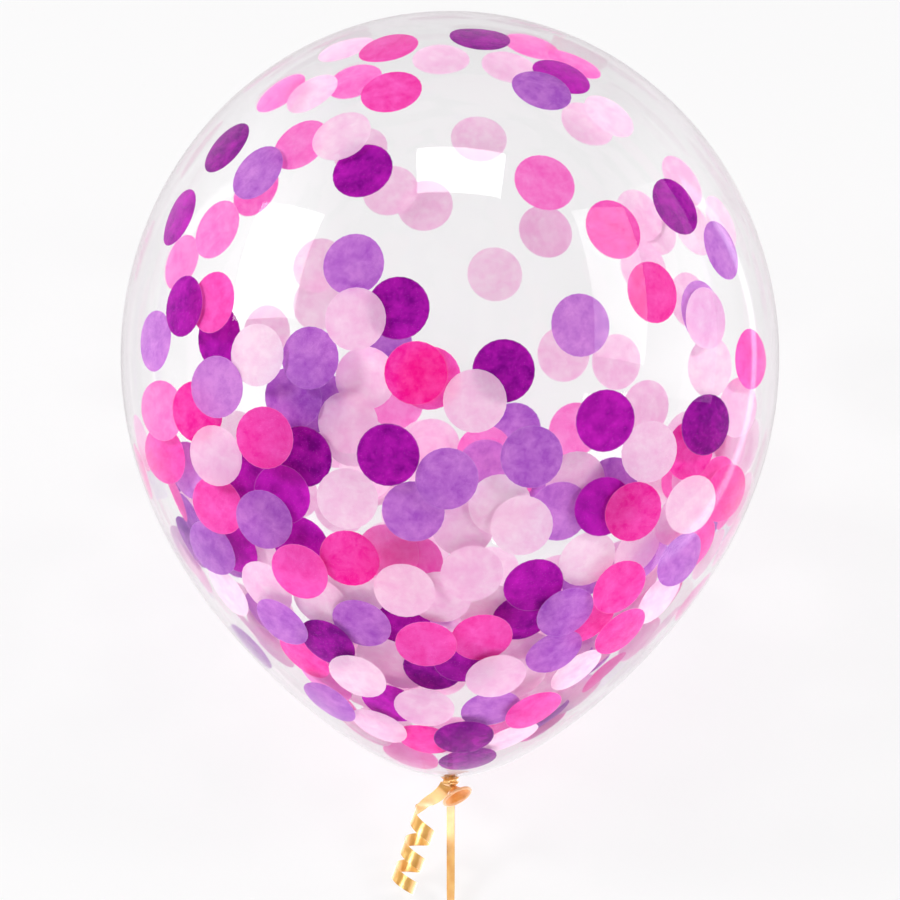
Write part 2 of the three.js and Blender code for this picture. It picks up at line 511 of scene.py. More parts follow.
def smooth_stations(stations: Sequence[Station], steps: int) -> list[Station]:
    """Puts more stations between given ones, on a smooth curve through them all.

    Args:
        stations: The given stations.
        steps: How many spans each stretch is cut into.

    Returns:
        The finer stations, with the first and last unchanged.
    """
    def between(knots: Sequence[Vector], share: float) -> Vector:
        """A point of the Catmull-Rom curve between the middle two of four points."""
        a, b, c, d = knots
        return 0.5 * (2 * b + (c - a) * share + (2 * a - 5 * b + 4 * c - d) * share ** 2
                      + (3 * b - a - 3 * c + d) * share ** 3)

    padded = [stations[0], *stations, stations[-1]]
    finer = []
    for i in range(len(stations) - 1):
        knots = [station.middle for station in padded[i:i + 4]]
        for step in range(steps):
            share = step / steps
            face = stations[i].face.lerp(stations[i + 1].face, share)
            finer.append(Station(between(knots, share), face.normalized()))
    finer.append(stations[-1])
    return finer


def heading(points: Sequence[Vector], index: int) -> Vector:
    """The direction in which a line of points runs at one of them."""
    return (points[min(index + 1, len(points) - 1)] - points[max(index - 1, 0)]).normalized()


def sweep_tape(bm: BMesh, stations: Sequence[Station], width: float, strands: int = 4) -> None:
    """Draws a flat tape along its stations by extruding one cross line again and again.

    Args:
        bm: The mesh that gets the tape.
        stations: Where the tape runs and which way it looks.
        width: The tape's width.
        strands: Faces across it.
    """
    def frame_at(index: int) -> Matrix:
        """Where a cross line along X goes at one station."""
        along = heading(middles, index)
        across = along.cross(stations[index].face).normalized()
        turned = Matrix((across, along, across.cross(along))).transposed().to_4x4()
        return Matrix.Translation(middles[index]) @ turned

    middles = [station.middle for station in stations]
    edge_to_edge = number_layer(bm.verts.layers, "across")
    verts = []
    for strand in range(strands + 1):
        share = strand / strands
        vert = bm.verts.new((width * (share - 0.5), 0, 0))
        vert[edge_to_edge] = share
        verts.append(vert)
    edges = [bm.edges.new(pair) for pair in zip(verts, verts[1:])]
    place = frame_at(0)
    bmesh.ops.transform(bm, matrix=place, verts=verts)
    for index in range(1, len(stations)):
        made = bmesh.ops.extrude_edge_only(bm, edges=edges)["geom"]
        verts = [item for item in made if isinstance(item, BMVert)]
        new_row = set(verts)
        edges = [item for item in made if isinstance(item, BMEdge) and new_row.issuperset(item.verts)]
        new_place = frame_at(index)
        bmesh.ops.transform(bm, matrix=new_place @ place.inverted(), verts=verts)
        place = new_place


def thicken(piece: bpy.types.Object, thickness: float) -> None:
    """Gives a sheet its thickness, half to each side, with its edges cut square.

    Args:
        piece: The object of the sheet.
        thickness: How thick it is.
    """
    bm = bmesh.new()
    bm.from_mesh(piece.data)
    for edge in bm.edges:
        edge.smooth = not edge.is_boundary
    bm.to_mesh(piece.data)
    bm.free()
    wall = piece.modifiers.new("thickness", "SOLIDIFY")
    wall.thickness = thickness
    wall.offset = 0.0


@dataclass(frozen=True)
class BalloonShape:
    """The blown-up skin about its own axis, and how it lies. Heights count from the widest circle."""

    widest_diameter: float = 279.4 * MM
    crown_height: float = 147 * MM
    neck_depth: float = 178 * MM
    taper: float = 0.228
    tip_taper: float = 0.109
    gather_angle: float = math.radians(87.5)
    tilt: float = math.radians(35)
    flat_spot_depth: float = 2.5 * MM
    search_step: float = 0.05 * MM

    def radius_at(self, height: float, inset: float = 0.0) -> float:
        """The radius of the skin, or of a surface inside it.

        Args:
            height: Height above or below the widest circle.
            inset: How far inside the skin.

        Returns:
            The radius.
        """
        widest = self.widest_diameter / 2 - inset
        if height >= 0:
            return widest * math.sqrt(max(0.0, 1 - (height / (self.crown_height - inset)) ** 2))
        fall = (height / (self.neck_depth - inset)) ** 2
        return widest * math.sqrt(max(0.0, 1 - fall)) * (1 - self.taper * fall - self.tip_taper * fall ** 2)

    def outline(self, inset: float, crown_steps: int, taper_steps: int) -> list[Vector]:
        """The half outline from the crown's pole to the gathered neck.

        Args:
            inset: How far inside the skin.
            crown_steps: Spans above the widest circle.
            taper_steps: Spans below it.

        Returns:
            Points in the XY plane.
        """
        crown, neck = self.crown_height - inset, self.neck_depth - inset
        heights = [crown * math.cos(math.pi / 2 * step / crown_steps) for step in range(crown_steps)]
        heights += [
            -neck * math.sin(self.gather_angle * step / taper_steps) for step in range(taper_steps + 1)]
        points = [Vector((self.radius_at(height, inset), height, 0)) for height in heights]
        points[0].x = 0.0
        points.append(Vector((0, -neck, 0)))
        return points

    def lying(self) -> Matrix:
        """Where the balloon's own frame is: tilted neck down, its flat spot on the origin.

        Returns:
            The matrix from the balloon's own frame to the model's.
        """
        reach = forward = 0.0
        for step in range(round(self.neck_depth / self.search_step)):
            height = -step * self.search_step
            radius = self.radius_at(height)
            here = radius * math.cos(self.tilt) - height * math.sin(self.tilt)
            if here > reach:
                reach = here
                forward = -height * math.cos(self.tilt) - radius * math.sin(self.tilt)
        place = Matrix.Translation((0, forward, reach - self.flat_spot_depth))
        return place @ Matrix.Rotation(self.tilt, 4, "X")


@dataclass(frozen=True)
class PhotoCamera:
    """The view from the front: square to the balloon's axis, with the neck at the bottom of the picture."""

    distance: float = 1.9
    picture_side: int = 900
    pixel: float = 0.4251 * MM
    widest_row: float = 358.0
    sensor: float = 36.0

    def own_point(self, column: float, row: float) -> Vector:
        """The point of the balloon's axis plane, in its own frame, behind a pixel.

        Args:
            column: Pixels from the picture's left edge.
            row: Pixels from its top edge.

        Returns:
            The point.
        """
        middle = self.picture_side / 2
        return Vector(((column - middle) * self.pixel, (self.widest_row - row) * self.pixel, 0))

    def eye(self) -> Vector:
        """Where the camera stands, in the balloon's own frame."""
        middle = self.picture_side / 2
        return self.own_point(middle, middle) + Vector((0, 0, self.distance))

    def build(self, lying: Matrix) -> None:
        """Makes the scene's camera.

        Args:
            lying: Where the balloon's own frame is.
        """
        data = bpy.data.cameras.new("camera")
        data.sensor_width = self.sensor
        data.lens = self.sensor * self.distance / (self.picture_side * self.pixel)
        camera = bpy.data.objects.new("camera", data)
        camera.matrix_world = lying @ Matrix.Translation(self.eye())
        bpy.context.scene.collection.objects.link(camera)
        bpy.context.scene.camera = camera


@dataclass
class LongTail:
    """The long ribbon tail: from the knot down to the floor, and the rest wound into a tied coil."""

    gold: bpy.types.Material
    width: float = 5 * MM
    thickness: float = 0.16 * MM
    length: float = 1.2
    knot_end: Point = (0.3, -124.9, 36.2)
    route: tuple[Point, ...] = (
        (0.3, -123.6, 32.8), (0.3, -127.6, 29.9), (0.3, -131.6, 26.9), (0.3, -135.6, 23.8),
        (0.3, -139.6, 20.6), (0.3, -143.6, 17.4), (0.3, -147.6, 14.3), (0.3, -151.8, 11.3),
        (0.3, -156.2, 8.6), (0.3, -160.8, 6.4), (0.3, -165.6, 4.8), (0.3, -170.6, 3.8),
        (0.3, -175.6, 3.3), (0.3, -180.6, 3.2), (0.3, -185.6, 3.2), (0.3, -190, 3.2), (0.3, -197.5, 3.2),
    )
    smoothing: int = 3
    turn_at_knot: float = math.radians(48)
    turn_from: float = -163 * MM
    turn_to: float = -190 * MM
    coil_centre: Point = (33.8, -205, 3.2)
    coil_radius: float = 33.5 * MM
    coil_pitch: float = 2 * MM
    coil_turns: float = 6.7
    coil_steps: int = 40
    tie_width: float = 4 * MM
    tie_thickness: float = 0.35 * MM
    tie_corner: float = 1.2 * MM
    tie_corner_steps: int = 5

    def straight_stations(self) -> list[Station]:
        """The stretch from the knot to the coil, which turns on its edge as it reaches the floor.

        Returns:
            Its listed stations.
        """
        points = millimetres([self.knot_end, *self.route])
        stations = []
        for index, point in enumerate(points):
            share = (point.y - self.turn_from) / (self.turn_to - self.turn_from)
            share = min(1.0, max(0.0, share))
            turn = self.turn_at_knot + (math.pi / 2 - self.turn_at_knot) * share
            sideways = Vector((1, 0, 0))
            upright = heading(points, index).cross(sideways).normalized()
            stations.append(Station(point, upright * math.cos(turn) - sideways * math.sin(turn)))
        return stations

    def coil_stations(self) -> list[Station]:
        """The wound stretch, on edge, turn inside turn.

        Returns:
            Its stations.
        """
        centre = Vector(self.coil_centre) * MM
        stations = []
        for step in range(round(self.coil_turns * self.coil_steps) + 1):
            turns = step / self.coil_steps
            angle = math.pi + FULL_TURN * turns
            outwards = Vector((math.cos(angle), math.sin(angle), 0))
            radius = self.coil_radius - self.coil_pitch * turns
            stations.append(Station(centre + outwards * radius, outwards))
        return stations

    def tie_stations(self) -> list[Station]:
        """A band around the coil's turns, with its ends lapped.

        Returns:
            Its stations.
        """
        low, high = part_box("coil_tie")
        reach = self.tie_corner + self.tie_thickness
        middle_y = (low.y + high.y) / 2
        stations = []
        corners = ((high.x, high.z, 0.0), (low.x, high.z, 0.5), (low.x, low.z, 1.0), (high.x, low.z, 1.5))
        for x, z, quarter in corners:
            inward_x = -1 if x == high.x else 1
            inward_z = -1 if z == high.z else 1
            hub = Vector((x + inward_x * reach, middle_y, z + inward_z * reach))
            for step in range(self.tie_corner_steps + 1):
                angle = math.pi * (quarter + 0.5 * step / self.tie_corner_steps)
                outwards = Vector((math.cos(angle), 0, math.sin(angle)))
                stations.append(Station(hub + outwards * self.tie_corner, outwards))
        for middle, face in stations[:2]:
            stations.append(Station(middle + face * self.tie_thickness, face))
        return stations

    def build(self) -> bpy.types.Object:
        """Makes the tail and the tie on its coil.

        Returns:
            The tail.
        """
        stations = smooth_stations(self.straight_stations(), self.smoothing) + self.coil_stations()
        bm = bmesh.new()
        sweep_tape(bm, stations, self.width)
        tail = finish_piece("ribbon_tail_gold", bm, self.gold)
        thicken(tail, self.thickness)
        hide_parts("ribbon_tail", "ribbon_coil")

        bm = bmesh.new()
        sweep_tape(bm, self.tie_stations(), self.tie_width)
        tie = finish_piece("coil_tie_band", bm, self.gold)
        thicken(tie, self.tie_thickness)
        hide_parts("coil_tie")

        path = [tuple(station.middle) for station in stations]
        path[0]
        return tail


@dataclass
class CurledTail:
    """The short ribbon tail: a broad lead from the knot that passes behind into a corkscrew curl."""

    lying: Matrix
    gold: bpy.types.Material
    width: float = 5.5 * MM
    thickness: float = 0.16 * MM
    length: float = 0.118
    lead: tuple[Point, ...] = (
        (-1.4, -181.0, 3.4), (-2.8, -183.4, 2.6), (-5.4, -186.2, -0.4), (-9.4, -189.2, -5.8),
        (-12.3, -191.4, -9.2), (-14.7, -193.2, -8.9))
    lead_ease: float = 2.0
    smoothing: int = 5
    axis_start: Point = (-10.6, -196.4, -5.5)
    axis_end: Point = (-20.2, -224.8, -8.5)
    radius: float = 5.5 * MM
    turns: float = 2.5
    slowing: float = 0.2
    steps: int = 26

    def helix_stations(self) -> list[Station]:
        """The corkscrew, which starts at its left side and comes round in front on its way down.

        Returns:
            Its stations, in the balloon's own frame.
        """
        start, end = millimetres([self.axis_start, self.axis_end])
        down = (end - start).normalized()
        viewer = (Vector((0, 0, 1)) - down * down.z).normalized()
        right = down.cross(viewer)
        if right.x < 0:
            right = -right
        stations = []
        count = round(self.turns * self.steps)
        for step in range(count + 1):
            share = step / count
            angle = math.pi - FULL_TURN * self.turns * share
            outwards = right * math.cos(angle) + viewer * math.sin(angle)
            centre = start.lerp(end, share * (1 + self.slowing * (1 - share)))
            stations.append(Station(centre + outwards * self.radius, outwards))
        return stations

    def build(self) -> bpy.types.Object:
        """Makes the curl.

        Returns:
            The curl.
        """
        helix = self.helix_stations()
        points = millimetres(self.lead)
        away = Vector((0, 0, -1))
        lead = []
        for index, point in enumerate(points):
            share = (index / len(points)) ** self.lead_ease
            lead.append(Station(point, away.lerp(helix[0].face, share).normalized()))
        stations = smooth_stations([*lead, helix[0]], self.smoothing)[:-1] + helix
        bm = bmesh.new()
        sweep_tape(bm, stations, self.width)
        bmesh.ops.transform(bm, matrix=self.lying, verts=bm.verts)
        curl = finish_piece("ribbon_curl_gold", bm, self.gold)
        thicken(curl, self.thickness)
        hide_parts("ribbon_curl")
        path = [tuple(self.lying @ station.middle) for station in stations]
        path[0]
        return curl


@dataclass
class RibbonKnot:
    """The ribbon wound tightly around the gathered neck, with the knot that its tails come out of."""

    lying: Matrix
    gold: bpy.types.Material
    depth: float = 180.1 * MM
    aside: float = 0.2 * MM
    lean: float = math.radians(8)
    inside: float = 2.75 * MM
    bulge: float = 0.75 * MM
    bulge_power: float = 0.7
    band_height: float = 1.25 * MM
    thickness: float = 0.14 * MM
    around: int = 56
    section_steps: int = 6
    bands: tuple[tuple[float, float, float], ...] = ((0.75, 5.0, 0.3), (0.0, -7.0, 2.1), (-0.75, 3.0, 4.4))
    coarse_wrinkle: float = 0.1 * MM
    coarse_waves: int = 7
    fine_wrinkle: float = 0.07 * MM
    fine_waves: int = 13
    sway: float = 0.16 * MM
    sway_waves: int = 3
    loop: tuple[Point, ...] = (
        (-0.7, -178.7, 2.5), (-1.3, -179.2, 3.6), (-1.7, -180.1, 4.15), (-1.7, -181.0, 3.9),
        (-1.3, -181.7, 2.9))
    loop_width: float = 2.8 * MM
    loop_strands: int = 6
    loop_tip: float = 0.6 / MM
    smoothing: int = 5

    def band(self, bm: BMesh, rise: float, lean_degrees: float, phase: float) -> None:
        """One turn of scrunched ribbon.

        Args:
            bm: The mesh that gets it.
            rise: Its height above the wrap's middle, in millimetres.
            lean_degrees: How far it leans across the neck.
            phase: Where its wrinkles start.
        """
        outline = []
        for step in range(self.section_steps + 1):
            share = step / self.section_steps
            out = self.inside + self.bulge * math.sin(math.pi * share) ** self.bulge_power
            outline.append(Vector((out, self.band_height * (share - 0.5), 0)))
        made = spin_outline(bm, outline, self.around, "across")
        for vert in made:
            angle = math.atan2(vert.co.z, vert.co.x)
            wrinkle = self.coarse_wrinkle * math.sin(self.coarse_waves * angle + phase)
            wrinkle += self.fine_wrinkle * math.sin(self.fine_waves * angle + 3 * phase)
            vert.co += Vector((vert.co.x, 0, vert.co.z)).normalized() * wrinkle
            vert.co.y += self.sway * math.sin(self.sway_waves * angle + 2 * phase)
        lean = math.radians(lean_degrees)
        turned = Matrix.Rotation(lean, 4, "X") @ Matrix.Rotation(self.lean + lean, 4, "Z")
        place = Matrix.Translation((self.aside, rise * MM - self.depth, 0))
        bmesh.ops.transform(bm, matrix=place @ turned, verts=made)

    def build(self) -> bpy.types.Object:
        """Makes the wound bands and the loop of the knot over them.

        Returns:
            The knot.
        """
        bm = bmesh.new()
        for rise, lean_degrees, phase in self.bands:
            self.band(bm, rise, lean_degrees, phase)
        stations = []
        for point in millimetres(self.loop):
            outwards = (point - Vector((self.aside, point.y, 0))).normalized()
            tip = Vector((0, (point.y + self.depth) * self.loop_tip, 0))
            stations.append(Station(point, (outwards + tip).normalized()))
        sweep_tape(bm, smooth_stations(stations, self.smoothing), self.loop_width, self.loop_strands)
        bmesh.ops.transform(bm, matrix=self.lying, verts=bm.verts)
        bmesh.ops.recalc_face_normals(bm, faces=bm.faces)
        knot = finish_piece("ribbon_knot", bm, self.gold)
        thicken(knot, self.thickness)
        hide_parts("ribbon_wrap")
        return knot


@dataclass
class BalloonNeck:
    """The gathered neck below the skin, and the open mouth with its rolled lip bent over to one side."""

    lying: Matrix
    amber: bpy.types.Material
    gather: tuple[Point, ...] = (
        (0, -177, 0), (4.2, -177.7, 0), (3.5, -178.2, 0), (3, -178.8, 0), (2.5, -179.4, 0),
        (2.4, -181.2, 0), (2.3, -182.6, 0), (0, -183, 0))
    pleats: int = 9
    pleat_depth: float = 0.09
    pleat_twist: float = 2 * MM
    mouth_root: Point = (0.3, -181.6, 0)
    mouth_direction: Point = (0.46, -0.77, 0.44)
    mouth_depth: float = 6 * MM
    root_radius: float = 2 * MM
    root_length: float = 1.5 * MM
    mouth_radius: float = 6.2 * MM
    wall: float = 0.5 * MM
    floor: float = 2.2 * MM
    flare_power: float = 1.4
    bead_radius: float = 0.65 * MM
    bead_margin: float = 1.05
    bead_turn: float = 1.5 * math.pi
    bead_steps: int = 12
    steps: int = 10
    around: int = 64

    def flare(self, along: float) -> float:
        """The mouth's outer radius at a distance from its root."""
        rise = max(0.0, (along - self.root_length) / (self.mouth_depth - self.root_length))
        return self.root_radius + (self.mouth_radius - self.root_radius) * rise ** self.flare_power

    def mouth_outline(self) -> list[Vector]:
        """The mouth's outline: up the outside, round the rolled lip and down the inside.

        Returns:
            Points in the XY plane, with the mouth's root on the origin.
        """
        points = [Vector((0, 0, 0)), Vector((self.root_radius, 0, 0))]
        reach = self.mouth_depth - self.root_length
        for step in range(self.steps):
            along = self.root_length + reach * step / self.steps
            points.append(Vector((self.flare(along), along, 0)))
        for step in range(self.bead_steps):
            angle = -math.pi / 2 + self.bead_turn * step / (self.bead_steps - 1)
            points.append(Vector((
                self.mouth_radius + self.bead_radius * math.cos(angle),
                self.mouth_depth + self.bead_radius * math.sin(angle), 0)))
        for step in range(self.steps - 1, 0, -1):
            along = self.floor + (self.mouth_depth - self.floor) * step / self.steps
            points.append(Vector((self.flare(along) - self.wall, along, 0)))
        points.append(Vector((0, self.floor, 0)))
        return points

    def build(self) -> bpy.types.Object:
        """Makes the neck and the mouth.

        Returns:
            The neck.
        """
        bm = bmesh.new()
        lip = number_layer(bm.verts.layers, "lip")
        for vert in spin_outline(bm, millimetres(self.gather), self.around):
            angle = math.atan2(vert.co.z, vert.co.x)
            pleat = 1 + self.pleat_depth * math.sin(self.pleats * angle + vert.co.y / self.pleat_twist)
            vert.co.x *= pleat
            vert.co.z *= pleat
        mouth = spin_outline(bm, self.mouth_outline(), self.around)
        for vert in mouth:
            out = math.hypot(vert.co.x, vert.co.z)
            from_bead = math.hypot(out - self.mouth_radius, vert.co.y - self.mouth_depth)
            vert[lip] = 1.0 if from_bead < self.bead_margin * self.bead_radius else 0.0
        direction = Vector(self.mouth_direction).normalized()
        turn = Vector((0, 1, 0)).rotation_difference(direction).to_matrix().to_4x4()
        place = Matrix.Translation(Vector(self.mouth_root) * MM)
        bmesh.ops.transform(bm, matrix=place @ turn, verts=mouth)
        bmesh.ops.transform(bm, matrix=self.lying, verts=bm.verts)
        neck = finish_piece("balloon_neck", bm, self.amber)
        return neck


@dataclass
class BalloonSkin:
    """The clear blown-up skin: an outer and an inner surface, flattened where it rests."""

    shape: BalloonShape
    lying: Matrix
    latex: bpy.types.Material
    wall: float = 0.25 * MM
    around: int = 144
    crown_steps: int = 44
    taper_steps: int = 62

    def surface(self, inset: float) -> BMesh:
        """One of the skin's two surfaces, in place.

        Args:
            inset: How far it is inside the skin.

        Returns:
            A closed bmesh that points out.
        """
        bm = bmesh.new()
        spin_outline(bm, self.shape.outline(inset, self.crown_steps, self.taper_steps), self.around)
        bmesh.ops.transform(bm, matrix=self.lying, verts=bm.verts)
        for vert in bm.verts:
            vert.co.z = max(vert.co.z, inset)
        return bm

    def inner_wall(self) -> BVHTree:
        """The inner surface, to lay the confetti against.

        Returns:
            Its search tree.
        """
        bm = self.surface(self.wall)
        tree = BVHTree.FromBMesh(bm)
        bm.free()
        return tree

    def build(self) -> bpy.types.Object:
        """Makes the skin.

        Returns:
            The skin.
        """
        outer = self.surface(0.0)
        inner = self.surface(self.wall)
        bmesh.ops.reverse_faces(inner, faces=inner.faces)
        inner_mesh = bpy.data.meshes.new("inner_wall")
        inner.to_mesh(inner_mesh)
        inner.free()
        outer.from_mesh(inner_mesh)
        bpy.data.meshes.remove(inner_mesh)
        skin = finish_piece("balloon_skin", outer, self.latex)
        skin.visible_shadow = False
        skin.visible_diffuse = False
        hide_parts("balloon")
        return skin


class Wall(Enum):
    """Which side of the skin a disc clings to, seen from the camera."""

    NEAR = "near"
    FAR = "far"


class DiscSpot(NamedTuple):
    """A disc's place: the pixel of its middle, and how many discs lie between it and the skin."""

    column: float
    row: float
    layer: int = 0


def spots(*places: tuple[float, ...]) -> tuple[DiscSpot, ...]:
    """Discs' places, each from its column, its row and, under other discs, its layer."""
    return tuple(DiscSpot(*place) for place in places)


NEAR_DISCS: dict[Tissue, tuple[DiscSpot, ...]] = {
    Tissue.HOT_PINK: spots(
        (388, 47), (391, 91), (212, 302, 1), (614, 229), (653, 292), (416, 373), (429, 378, 1), (752, 359),
        (264, 438), (634, 512), (727, 494), (299, 572), (349, 559, 1), (620, 588), (621, 632), (426, 645),
        (482, 638, 1), (534, 711), (424, 741, 1), (303, 658, 2), (196, 412, 2), (217, 506, 1),
        (697, 545, 1), (692, 451, 2), (718, 486, 1), (163, 455, 1), (590, 622, 2)),
    Tissue.PURPLE: spots(
        (226, 147), (178, 217), (183, 306), (362, 170, 1), (480, 37), (562, 75, 1), (676, 206),
        (398, 308, 1), (504, 371, 1), (606, 421), (707, 425), (388, 455), (604, 507, 1), (534, 586, 1),
        (327, 643, 1),
        (464, 738), (217, 337, 2), (302, 457, 2), (281, 495, 1), (243, 475, 2), (300, 545, 2),
        (433, 670, 2), (464, 661, 1), (390, 704, 1), (522, 618, 2), (402, 628, 3),
        (468, 762, 1), (232, 548, 2)),
    Tissue.LAVENDER: spots(
        (257, 172), (353, 264, 1), (542, 89), (722, 250), (581, 325), (154, 341), (309, 358, 1), (216, 387),
        (447, 479), (532, 457), (263, 520), (211, 549), (681, 560), (566, 613), (555, 653, 1), (281, 623),
        (361, 624, 2), (491, 710, 1), (329, 703), (187, 472, 1), (292, 398, 2), (560, 512, 2),
        (655, 560, 3), (612, 488, 3), (413, 512, 2), (318, 402, 3), (702, 311, 2)),
    Tissue.PALE_PINK: spots(
        (341, 135), (355, 319), (256, 355), (475, 401), (215, 456), (707, 318, 1), (712, 367, 2),
        (522, 526), (650, 452), (692, 505), (683, 521, 1), (472, 574, 1), (404, 591), (440, 598, 2),
        (588, 560, 1), (357, 677), (424, 708), (378, 727), (496, 677), (520, 679, 1), (347, 423, 2),
        (352, 437, 3), (365, 378, 2), (500, 505, 1), (576, 482, 2), (266, 588, 1), (320, 603, 2),
        (355, 592, 2), (226, 592, 2), (385, 660, 2), (400, 670, 2), (578, 672, 2), (660, 600, 1),
        (512, 740, 1), (463, 527, 2), (522, 655, 2), (490, 610, 2), (257, 545, 2), (643, 553, 2),
        (347, 499, 1), (741, 408, 1)),
    Tissue.BLUSH: spots(
        (216, 229), (300, 144, 1), (545, 182), (160, 411), (388, 553, 2), (412, 562, 3), (324, 684, 3)),
}

FAR_DISCS: dict[Tissue, tuple[DiscSpot, ...]] = {
    Tissue.BLUSH: spots(
        (354, 80), (280, 92), (180, 262), (532, 45), (575, 62), (575, 430), (725, 450), (396, 402),
        (410, 758), (255, 190)),
    Tissue.PALE_PINK: spots(
        (425, 205), (479, 138), (546, 231), (495, 274), (564, 354), (266, 333), (318, 303), (690, 300),
        (390, 190), (360, 150), (441, 58), (510, 66), (588, 123), (610, 115), (655, 228), (683, 180),
        (722, 222), (617, 362), (647, 408), (425, 447), (345, 47), (750, 447), (695, 228), (311, 92),
        (675, 480), (318, 265), (640, 215), (645, 268), (640, 640)),
    Tissue.LAVENDER: spots((385, 345), (514, 430), (510, 465)),
}


@dataclass
class Confetti:
    """Loose tissue discs that cling to the skin's inner wall, most of them in its lower half."""

    camera: PhotoCamera
    shape: BalloonShape
    lying: Matrix
    wall: BVHTree
    diameter: float = 25.4 * MM
    segments: int = 26
    inner_ring: float = 0.42
    wall_gap: float = 0.35 * MM
    stack_gap: float = 1.5 * MM
    lean: float = 0.3
    lean_rise: tuple[float, float] = (12 * MM, -13 * MM)
    lean_fall: tuple[float, float] = (-112 * MM, -66 * MM)
    largest_lift: float = 1.1 * MM
    ripple: float = 0.06 * MM
    steepest: float = 0.3
    past_near_wall: float = 5 * MM
    scattered: int = 130
    scatter_heights: tuple[float, float] = (-165 * MM, -34 * MM)
    scatter_mix: tuple[Tissue, ...] = (
        Tissue.PALE_PINK, Tissue.BLUSH, Tissue.PALE_PINK, Tissue.PALE_PINK, Tissue.LAVENDER,
        Tissue.PALE_PINK)
    dice: random.Random = field(default_factory=lambda: random.Random(SEED))
    meshes: dict[Tissue, BMesh] = field(default_factory=lambda: defaultdict(bmesh.new))
    tops: list[tuple[Vector, float]] = field(default_factory=list)

    def lean_at(self, height: float) -> float:
        """The share by which a disc of the pile leans back from the wall, which fades out above and below.

        Args:
            height: Its height from the widest circle.

        Returns:
            The share of the angle between the wall and the view.
        """
        share = self.lean
        for start, end in (self.lean_rise, self.lean_fall):
            share *= min(1.0, max(0.0, (height - start) / (end - start)))
        return share

    def free_gap(self, on_wall: Vector, slope: Vector, least: float) -> float:
        """How far off the wall a disc has to lie to clear the discs that are already there.

        Args:
            on_wall: The point of the wall under its middle.
            slope: Which way along the wall the disc comes away from it, as long as the rise is steep.
            least: The gap that it needs on a bare wall.

        Returns:
            The gap.
        """
        below = [
            top + self.stack_gap + (on_wall - middle).dot(slope)
            for middle, top in self.tops if (middle - on_wall).length < self.diameter]
        return max([least, *below])

    def lay(self, tissue: Tissue, middle: Vector, outwards: Vector, gap: float,
            turn: Matrix = Matrix.Identity(3)) -> float:
        """Lays one disc along the wall, with one edge lifted a little.

        Args:
            tissue: Its colour.
            middle: A point at its middle.
            outwards: The wall's direction there.
            gap: How far off the wall it lies.
            turn: How it is turned away from the wall about its middle.

        Returns:
            How far its edge is lifted.
        """
        bm = self.meshes[tissue]
        tone = number_layer(bm.faces.layers, "tone")
        edge = number_layer(bm.verts.layers, "rim")
        radius = self.diameter / 2
        spin = Matrix.Rotation(self.dice.uniform(0, FULL_TURN), 4, "Z")
        place = Matrix.Translation(middle) @ outwards.to_track_quat("Z", "Y").to_matrix().to_4x4() @ spin
        rim = bmesh.ops.create_circle(bm, cap_ends=True, radius=radius, segments=self.segments)["verts"]
        cap = rim[0].link_faces[0]
        bmesh.ops.inset_individual(bm, faces=[cap], thickness=radius * self.inner_ring)
        faces = [cap, *{face for vert in rim for face in vert.link_faces}]
        faces += bmesh.ops.poke(bm, faces=[cap])["faces"]
        faces = [face for face in set(faces) if face.is_valid]
        lift = self.dice.uniform(0, self.largest_lift)
        shade = self.dice.random()
        for face in faces:
            face[tone] = shade
        # The rim attribute marks where the tissue's painted edge highlight goes.
        for vert in rim:
            vert[edge] = 1.0
        verts = {vert for face in faces for vert in face.verts}
        for vert in sorted(verts, key=lambda vert: (vert.co.x, vert.co.y)):
            across = vert.co.x / radius
            extra = lift * max(0.0, across) ** 2 + self.dice.uniform(0, self.ripple)
            on_wall, direction, _, _ = self.wall.find_nearest(place @ vert.co)
            along_wall = on_wall - direction * (gap + extra)
            vert.co = middle + turn @ (along_wall - middle)
        return lift

    def hang(self, tissue: Tissue, spot: DiscSpot, side: Wall) -> None:
        """Lays the disc that shows at a pixel.

        Args:
            tissue: Its colour.
            spot: The pixel and the layer.
            side: The near or the far side of the skin.
        """
        behind = self.camera.own_point(spot.column, spot.row)
        eye = self.lying @ self.camera.eye()
        ray = (self.lying @ behind - eye).normalized()
        hit, direction, _, _ = self.wall.ray_cast(eye, ray)
        if hit is None:
            LOG.warning("no wall behind %s", spot)
            return
        angle = 0.0
        towards = -ray
        if side is Wall.NEAR:
            angle = direction.angle(-ray) * self.lean_at(behind.y)
            towards = ray
        else:
            hit, direction, _, _ = self.wall.ray_cast(hit + ray * self.past_near_wall, ray)
        slant = max(abs(ray.dot(direction)), self.steepest)
        axis = direction.cross(-ray).normalized()
        turn = Matrix.Rotation(angle, 3, axis)
        slope = direction.cross(axis) * -math.sin(angle)
        lifted = self.diameter / 2 * math.sin(angle)
        gap = self.free_gap(hit, slope, self.wall_gap + lifted)
        lift = self.lay(tissue, hit + towards * (gap / slant), direction, gap, turn)
        self.tops.append((hit, gap + lift))

    def scatter(self) -> None:
        """Lays discs at random over the far lower wall."""
        for count in range(self.scattered):
            height = self.dice.uniform(*self.scatter_heights)
            around = self.dice.uniform(math.pi, FULL_TURN)
            radius = self.shape.radius_at(height)
            own = Vector((radius * math.cos(around), height, radius * math.sin(around)))
            on_wall, direction, _, _ = self.wall.find_nearest(self.lying @ own)
            gap = self.free_gap(on_wall, Vector(), self.wall_gap)
            tissue = self.scatter_mix[count % len(self.scatter_mix)]
            lift = self.lay(tissue, on_wall - direction * gap, direction, gap)
            self.tops.append((on_wall, gap + lift))

